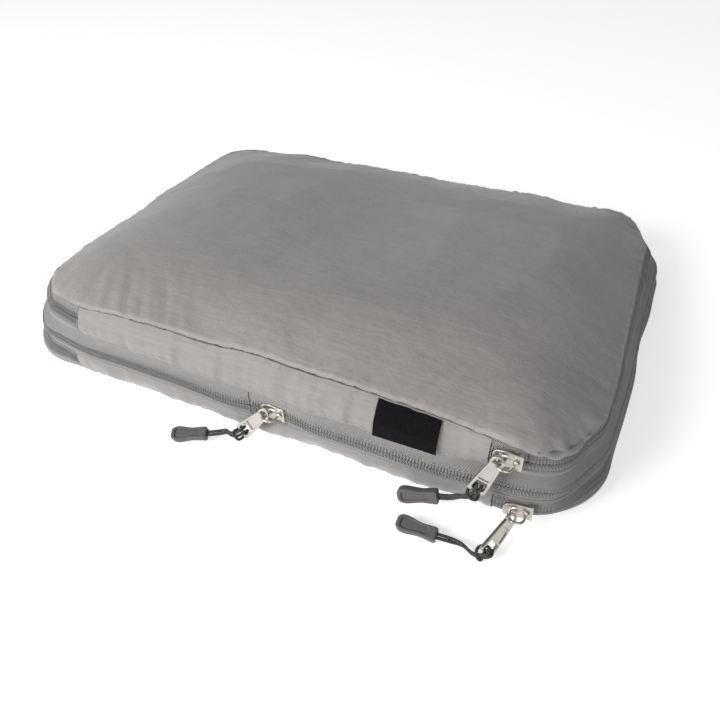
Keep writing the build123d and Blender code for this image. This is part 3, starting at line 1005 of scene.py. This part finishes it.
# each grip's root, the way that it runs and the way that it faces
grips = {
    "upper": ((0.1044, -0.1351, 0.0156), (-0.96033, -0.141867, -0.240083), (0.082042, -0.966556, 0.242977)),
    "compression": (
        (-0.0194, -0.1376, 0.005),
        (-0.934105, -0.344419, -0.093932),
        (0.037568, -0.356493, 0.933542),
    ),
    "lower": ((0.108314, -0.1464, 0.0031), (-0.99988, 0, 0.015462), (0.014744, -0.301164, 0.953458)),
}


gripSizes = {"panelHalf": 1.35, "rimHalf": 2.05, "collarHalf": 2.15}


def makeGrip(name):
    place = frameAt(*grips[name])
    side = [(0, -3.0), (3.0, -3.2), (7.4, -2.75), (12.8, -3.7), (16.0, -4.0), (18.8, -2.6)]
    side += [(x, -y) for x, y in reversed(side)]
    softness = [0.7, 1.5, 4.0, 4.0, 3.5, 3.2, 3.2, 3.5, 4.0, 4.0, 1.5, 0.7]
    panel = [(4.0, -1.6), (7.6, -1.4), (13.2, -2.3), (16.6, -2.1)]
    panel += [(x, -y) for x, y in reversed(panel)]
    collar = [(-0.2, -3.1), (2.4, -3.35), (2.4, 3.35), (-0.2, 3.1)]
    parts = [
        plate([rounded(side, softness)], gripSizes["panelHalf"], 0.7),
        plate([rounded(side, softness), rounded(panel, 1.1)], gripSizes["rimHalf"], 0.6),
        plate([rounded(collar, 0.8)], gripSizes["collarHalf"], 0.6),
    ]
    return assemble(name + "Grip", parts, place, name + "_pull", gripRubber, name + "_grip",
                    angle=50)


for name in ("upper", "compression", "lower"):
    makeSlider(name)
    makePuller(name)
for name, route, length in (
    ("upper", upperRoute, 0.0722),
    ("compression", compressionRoute, 0.0763),
    ("lower", lowerRoute, 0.0793),
):
    makeCord(name + "Cord", route, name + "_pull", name + "_cord", makeGrip(name))

print("stage: floor and light")
floorMesh = bpy.data.meshes.new("floor")
floorMesh.from_pydata([(-6, -6, 0), (6, -6, 0), (6, 6, 0), (-6, 6, 0)], [], [(0, 1, 2, 3)])
floor = bpy.data.objects.new("floor", floorMesh)
bpy.context.collection.objects.link(floor)
white, tree, shader = nodesOf("floorWhite")
shader.inputs["Base Color"].default_value = (0.93, 0.93, 0.93, 1)
shader.inputs["Roughness"].default_value = 0.7
shader.inputs["Emission Color"].default_value = (1, 1, 1, 1)
shader.inputs["Emission Strength"].default_value = 0.5
floorMesh.materials.append(white)


studio = {
    "keyPower": 11.6,
    "keySize": 0.6,
    "fillPower": 3.8,
    "fillSize": 0.9,
    "dimSky": (0.14, 0.14, 0.145),
    "brightSky": (0.5, 0.5, 0.49),
}


def makeLight(name, place, aim, size, power):
    light = bpy.data.lights.new(name, "AREA")
    light.shape = "DISK"
    light.size = size
    light.energy = power
    made = bpy.data.objects.new(name, light)
    bpy.context.collection.objects.link(made)
    made.location = place
    made.rotation_euler = (Vector(aim) - Vector(place)).to_track_quat("-Z", "Y").to_euler()


makeLight("keyLight", (-0.56, -0.95, 0.66), (0, -0.05, 0), studio["keySize"], studio["keyPower"])
makeLight("fillLight", (0.5, -1.2, 0.8), (0, 0, 0), studio["fillSize"], studio["fillPower"])
world = bpy.data.worlds.new("studio")
world.use_nodes = True
sky = world.node_tree
direction = add(sky, "ShaderNodeTexCoord")
tilt = add(sky, "ShaderNodeMapping")
tilt.inputs["Location"].default_value = (0.5, 0.0, 0.0)
tilt.inputs["Scale"].default_value = (-0.5, 0.5, 0.5)
gradient = add(sky, "ShaderNodeTexGradient")
sky.links.new(direction.outputs["Generated"], tilt.inputs["Vector"])
sky.links.new(tilt.outputs["Vector"], gradient.inputs["Vector"])
shades = rampOn(sky, gradient.outputs["Fac"], studio["dimSky"], studio["brightSky"], 0.15, 0.9)
sky.links.new(shades, sky.nodes["Background"].inputs["Color"])
sky.nodes["Background"].inputs["Strength"].default_value = 1.0
bpy.context.scene.world = world
bpy.context.scene.view_settings.view_transform = "Standard"
